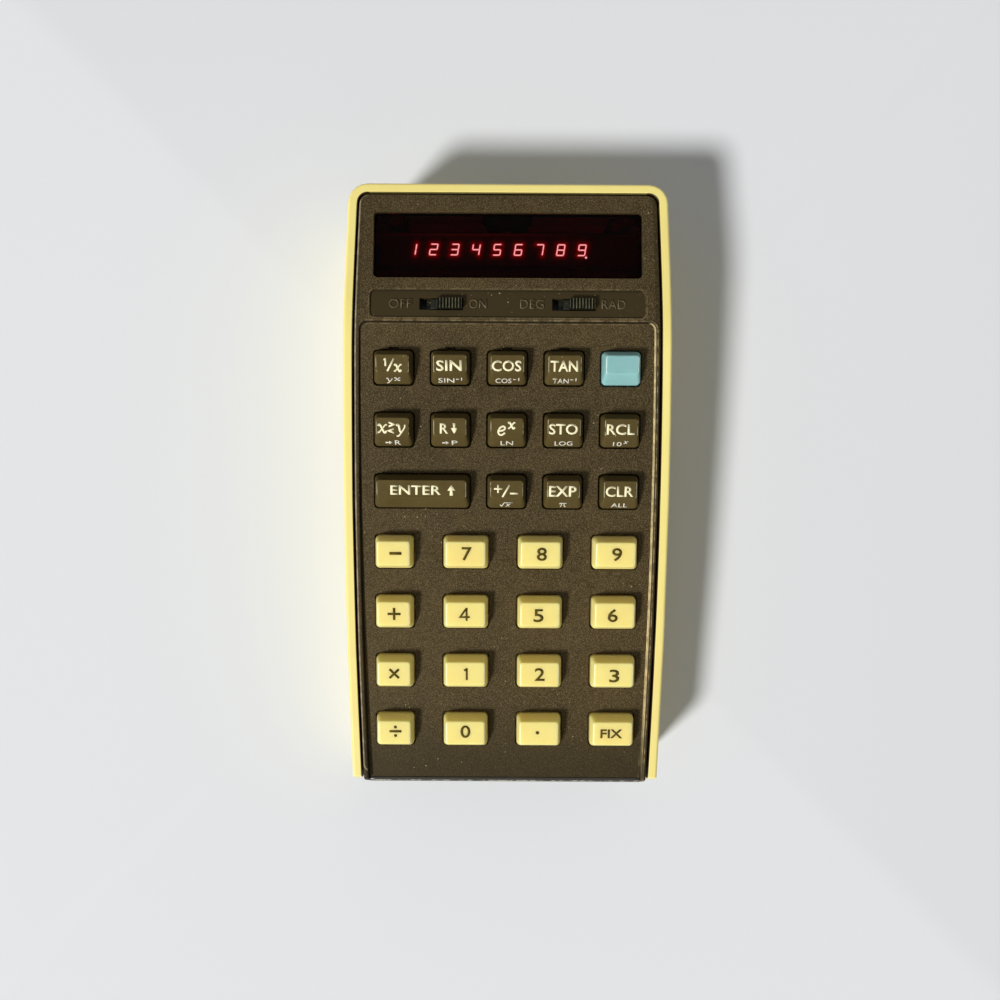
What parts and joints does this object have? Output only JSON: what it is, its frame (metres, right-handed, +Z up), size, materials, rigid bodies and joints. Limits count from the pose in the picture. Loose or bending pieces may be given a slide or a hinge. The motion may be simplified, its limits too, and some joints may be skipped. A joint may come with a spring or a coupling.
{
  "type": "pocket scientific calculator",
  "caption": "Hand-held scientific calculator: sloping keypad with square keys, slide switches, dark red display window, light shell with a removable battery pack.",
  "frame": {"origin": "on the table, under the middle of the case, where the feet stand", "axes": "+Z up, +Y towards the display end, +X to the user's right"},
  "size_m": [0.0678, 0.1258, 0.0301],
  "materials": {
    "cream_shell": "satin",
    "black_shell": "fine grain",
    "black_key": "satin",
    "cream_key": "satin",
    "blue_key": "satin",
    "red_filter": "polished, dark red, see-through",
    "switch_knob": "satin",
    "circuit_board": "satin",
    "dome_metal": "satin",
    "black_moulding": "matt",
    "red_lens": "polished",
    "nickel": "nickel plate",
    "cell_can": "satin sleeve",
    "rubber": "matt"
  },
  "bodies": {
    "case": {"back_case": "cream_shell", "front_case": "black_shell", "display_window": "red_filter", "switch_frame": "black_moulding", "key_dome_sheet": "dome_metal", "keyboard_board": "circuit_board", "board_connector": "black_moulding", "logic_board": "circuit_board", "processor_chip": "black_moulding", "memory_chip": "black_moulding", "display_driver_chip": "black_moulding", "power_inductor": "black_moulding", "display_board": "circuit_board", "led_lens_bar": "red_lens", "battery_contact_front": "nickel", "battery_contact_rear": "nickel", "charging_socket": "black_moulding", "charging_socket_pin": "nickel", "case_screw_left": "nickel", "case_screw_right": "nickel", "foot_rear_left": "rubber", "foot_rear_right": "rubber", "foot_front_left": "rubber", "foot_front_right": "rubber"},
    "power_switch": {"power_switch_knob": "switch_knob"},
    "angle_switch": {"angle_switch_knob": "switch_knob"},
    "battery_pack": {"battery_pack_cover": "cream_shell", "battery_cell_front": "cell_can", "battery_cell_rear": "cell_can", "battery_cell_link": "nickel"},
    "key_reciprocal": {"key_reciprocal": "black_key"},
    "key_sine": {"key_sine": "black_key"},
    "key_cosine": {"key_cosine": "black_key"},
    "key_tangent": {"key_tangent": "black_key"},
    "key_exchange": {"key_exchange": "black_key"},
    "key_roll_down": {"key_roll_down": "black_key"},
    "key_exponential": {"key_exponential": "black_key"},
    "key_store": {"key_store": "black_key"},
    "key_recall": {"key_recall": "black_key"},
    "key_enter": {"key_enter": "black_key"},
    "key_change_sign": {"key_change_sign": "black_key"},
    "key_exponent": {"key_exponent": "black_key"},
    "key_clear": {"key_clear": "black_key"},
    "key_shift": {"key_shift": "blue_key"},
    "key_minus": {"key_minus": "cream_key"},
    "key_7": {"key_7": "cream_key"},
    "key_8": {"key_8": "cream_key"},
    "key_9": {"key_9": "cream_key"},
    "key_plus": {"key_plus": "cream_key"},
    "key_4": {"key_4": "cream_key"},
    "key_5": {"key_5": "cream_key"},
    "key_6": {"key_6": "cream_key"},
    "key_times": {"key_times": "cream_key"},
    "key_1": {"key_1": "cream_key"},
    "key_2": {"key_2": "cream_key"},
    "key_3": {"key_3": "cream_key"},
    "key_divide": {"key_divide": "cream_key"},
    "key_0": {"key_0": "cream_key"},
    "key_point": {"key_point": "cream_key"},
    "key_format": {"key_format": "cream_key"}
  },
  "joints": [
    {"name": "key_reciprocal_press", "type": "slide", "parent": "case", "child": "key_reciprocal", "axis": [0, 0.1011, -0.9949], "range_m": [0, 0.0008], "stiffness_N_per_m": 900},
    {"name": "key_sine_press", "type": "slide", "parent": "case", "child": "key_sine", "axis": [0, 0.1011, -0.9949], "range_m": [0, 0.0008], "stiffness_N_per_m": 900},
    {"name": "key_cosine_press", "type": "slide", "parent": "case", "child": "key_cosine", "axis": [0, 0.1011, -0.9949], "range_m": [0, 0.0008], "stiffness_N_per_m": 900},
    {"name": "key_tangent_press", "type": "slide", "parent": "case", "child": "key_tangent", "axis": [0, 0.1011, -0.9949], "range_m": [0, 0.0008], "stiffness_N_per_m": 900},
    {"name": "key_exchange_press", "type": "slide", "parent": "case", "child": "key_exchange", "axis": [0, 0.1011, -0.9949], "range_m": [0, 0.0008], "stiffness_N_per_m": 900},
    {"name": "key_roll_down_press", "type": "slide", "parent": "case", "child": "key_roll_down", "axis": [0, 0.1011, -0.9949], "range_m": [0, 0.0008], "stiffness_N_per_m": 900},
    {"name": "key_exponential_press", "type": "slide", "parent": "case", "child": "key_exponential", "axis": [0, 0.1011, -0.9949], "range_m": [0, 0.0008], "stiffness_N_per_m": 900},
    {"name": "key_store_press", "type": "slide", "parent": "case", "child": "key_store", "axis": [0, 0.1011, -0.9949], "range_m": [0, 0.0008], "stiffness_N_per_m": 900},
    {"name": "key_recall_press", "type": "slide", "parent": "case", "child": "key_recall", "axis": [0, 0.1011, -0.9949], "range_m": [0, 0.0008], "stiffness_N_per_m": 900},
    {"name": "key_enter_press", "type": "slide", "parent": "case", "child": "key_enter", "axis": [0, 0.1011, -0.9949], "range_m": [0, 0.0008], "stiffness_N_per_m": 900},
    {"name": "key_change_sign_press", "type": "slide", "parent": "case", "child": "key_change_sign", "axis": [0, 0.1011, -0.9949], "range_m": [0, 0.0008], "stiffness_N_per_m": 900},
    {"name": "key_exponent_press", "type": "slide", "parent": "case", "child": "key_exponent", "axis": [0, 0.1011, -0.9949], "range_m": [0, 0.0008], "stiffness_N_per_m": 900},
    {"name": "key_clear_press", "type": "slide", "parent": "case", "child": "key_clear", "axis": [0, 0.1011, -0.9949], "range_m": [0, 0.0008], "stiffness_N_per_m": 900},
    {"name": "key_shift_press", "type": "slide", "parent": "case", "child": "key_shift", "axis": [0, 0.1011, -0.9949], "range_m": [0, 0.0008], "stiffness_N_per_m": 900},
    {"name": "key_minus_press", "type": "slide", "parent": "case", "child": "key_minus", "axis": [0, 0.1011, -0.9949], "range_m": [0, 0.0008], "stiffness_N_per_m": 900},
    {"name": "key_7_press", "type": "slide", "parent": "case", "child": "key_7", "axis": [0, 0.1011, -0.9949], "range_m": [0, 0.0008], "stiffness_N_per_m": 900},
    {"name": "key_8_press", "type": "slide", "parent": "case", "child": "key_8", "axis": [0, 0.1011, -0.9949], "range_m": [0, 0.0008], "stiffness_N_per_m": 900},
    {"name": "key_9_press", "type": "slide", "parent": "case", "child": "key_9", "axis": [0, 0.1011, -0.9949], "range_m": [0, 0.0008], "stiffness_N_per_m": 900},
    {"name": "key_plus_press", "type": "slide", "parent": "case", "child": "key_plus", "axis": [0, 0.1011, -0.9949], "range_m": [0, 0.0008], "stiffness_N_per_m": 900},
    {"name": "key_4_press", "type": "slide", "parent": "case", "child": "key_4", "axis": [0, 0.1011, -0.9949], "range_m": [0, 0.0008], "stiffness_N_per_m": 900},
    {"name": "key_5_press", "type": "slide", "parent": "case", "child": "key_5", "axis": [0, 0.1011, -0.9949], "range_m": [0, 0.0008], "stiffness_N_per_m": 900},
    {"name": "key_6_press", "type": "slide", "parent": "case", "child": "key_6", "axis": [0, 0.1011, -0.9949], "range_m": [0, 0.0008], "stiffness_N_per_m": 900},
    {"name": "key_times_press", "type": "slide", "parent": "case", "child": "key_times", "axis": [0, 0.1011, -0.9949], "range_m": [0, 0.0008], "stiffness_N_per_m": 900},
    {"name": "key_1_press", "type": "slide", "parent": "case", "child": "key_1", "axis": [0, 0.1011, -0.9949], "range_m": [0, 0.0008], "stiffness_N_per_m": 900},
    {"name": "key_2_press", "type": "slide", "parent": "case", "child": "key_2", "axis": [0, 0.1011, -0.9949], "range_m": [0, 0.0008], "stiffness_N_per_m": 900},
    {"name": "key_3_press", "type": "slide", "parent": "case", "child": "key_3", "axis": [0, 0.1011, -0.9949], "range_m": [0, 0.0008], "stiffness_N_per_m": 900},
    {"name": "key_divide_press", "type": "slide", "parent": "case", "child": "key_divide", "axis": [0, 0.1011, -0.9949], "range_m": [0, 0.0008], "stiffness_N_per_m": 900},
    {"name": "key_0_press", "type": "slide", "parent": "case", "child": "key_0", "axis": [0, 0.1011, -0.9949], "range_m": [0, 0.0008], "stiffness_N_per_m": 900},
    {"name": "key_point_press", "type": "slide", "parent": "case", "child": "key_point", "axis": [0, 0.1011, -0.9949], "range_m": [0, 0.0008], "stiffness_N_per_m": 900},
    {"name": "key_format_press", "type": "slide", "parent": "case", "child": "key_format", "axis": [0, 0.1011, -0.9949], "range_m": [0, 0.0008], "stiffness_N_per_m": 900},
    {"name": "power_switch_slide", "type": "slide", "parent": "case", "child": "power_switch", "axis": [1, 0, 0], "range_m": [-0.002, 0]},
    {"name": "angle_switch_slide", "type": "slide", "parent": "case", "child": "angle_switch", "axis": [1, 0, 0], "range_m": [-0.002, 0]},
    {"name": "battery_pack_removal", "type": "slide", "parent": "case", "child": "battery_pack", "axis": [0, 0, -1], "range_m": [0, 0.02]}
  ]
}
